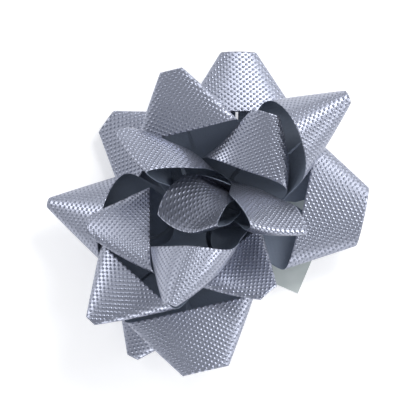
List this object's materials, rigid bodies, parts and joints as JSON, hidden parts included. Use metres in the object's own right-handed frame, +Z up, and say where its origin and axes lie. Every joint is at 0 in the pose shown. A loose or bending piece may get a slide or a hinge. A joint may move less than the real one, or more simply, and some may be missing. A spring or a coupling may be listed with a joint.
{
  "type": "pre-made gift bow",
  "caption": "Star-shaped gift bow of embossed metallic ribbon loops pinned to a backing card, with an adhesive foam pad and release liner.",
  "frame": {"origin": "on the bow's axis, at the underside of the release liner", "axes": "+Z up through the pin towards the centre loop; +X and +Y lie in the liner's plane"},
  "size_m": [0.0817, 0.0836, 0.0406],
  "materials": {
    "ribbon": "metallised film, silver-blue, embossed with fine dimples on the front; matt dark slate on the back",
    "card": "matt uncoated",
    "foam": "closed-cell foam, adhesive coated",
    "liner": "smooth silicone-coated release paper",
    "pin": "satin"
  },
  "bodies": {
    "liner": {"release_liner": "liner"},
    "bow": {"foam_pad": "foam", "backing_card": "card", "centre_pin": "pin", "loop_01": "ribbon", "loop_02": "ribbon", "loop_03": "ribbon", "loop_04": "ribbon", "loop_05": "ribbon", "loop_06": "ribbon", "loop_07": "ribbon", "loop_08": "ribbon", "loop_09": "ribbon", "loop_10": "ribbon", "loop_11": "ribbon", "loop_12": "ribbon", "loop_13": "ribbon", "loop_14": "ribbon", "loop_15": "ribbon", "centre_loop": "ribbon"}
  },
  "joints": [
    {"name": "liner_release", "type": "slide", "parent": "liner", "child": "bow", "axis": [0, 0, 1], "range_m": [0, 0.02]}
  ]
}
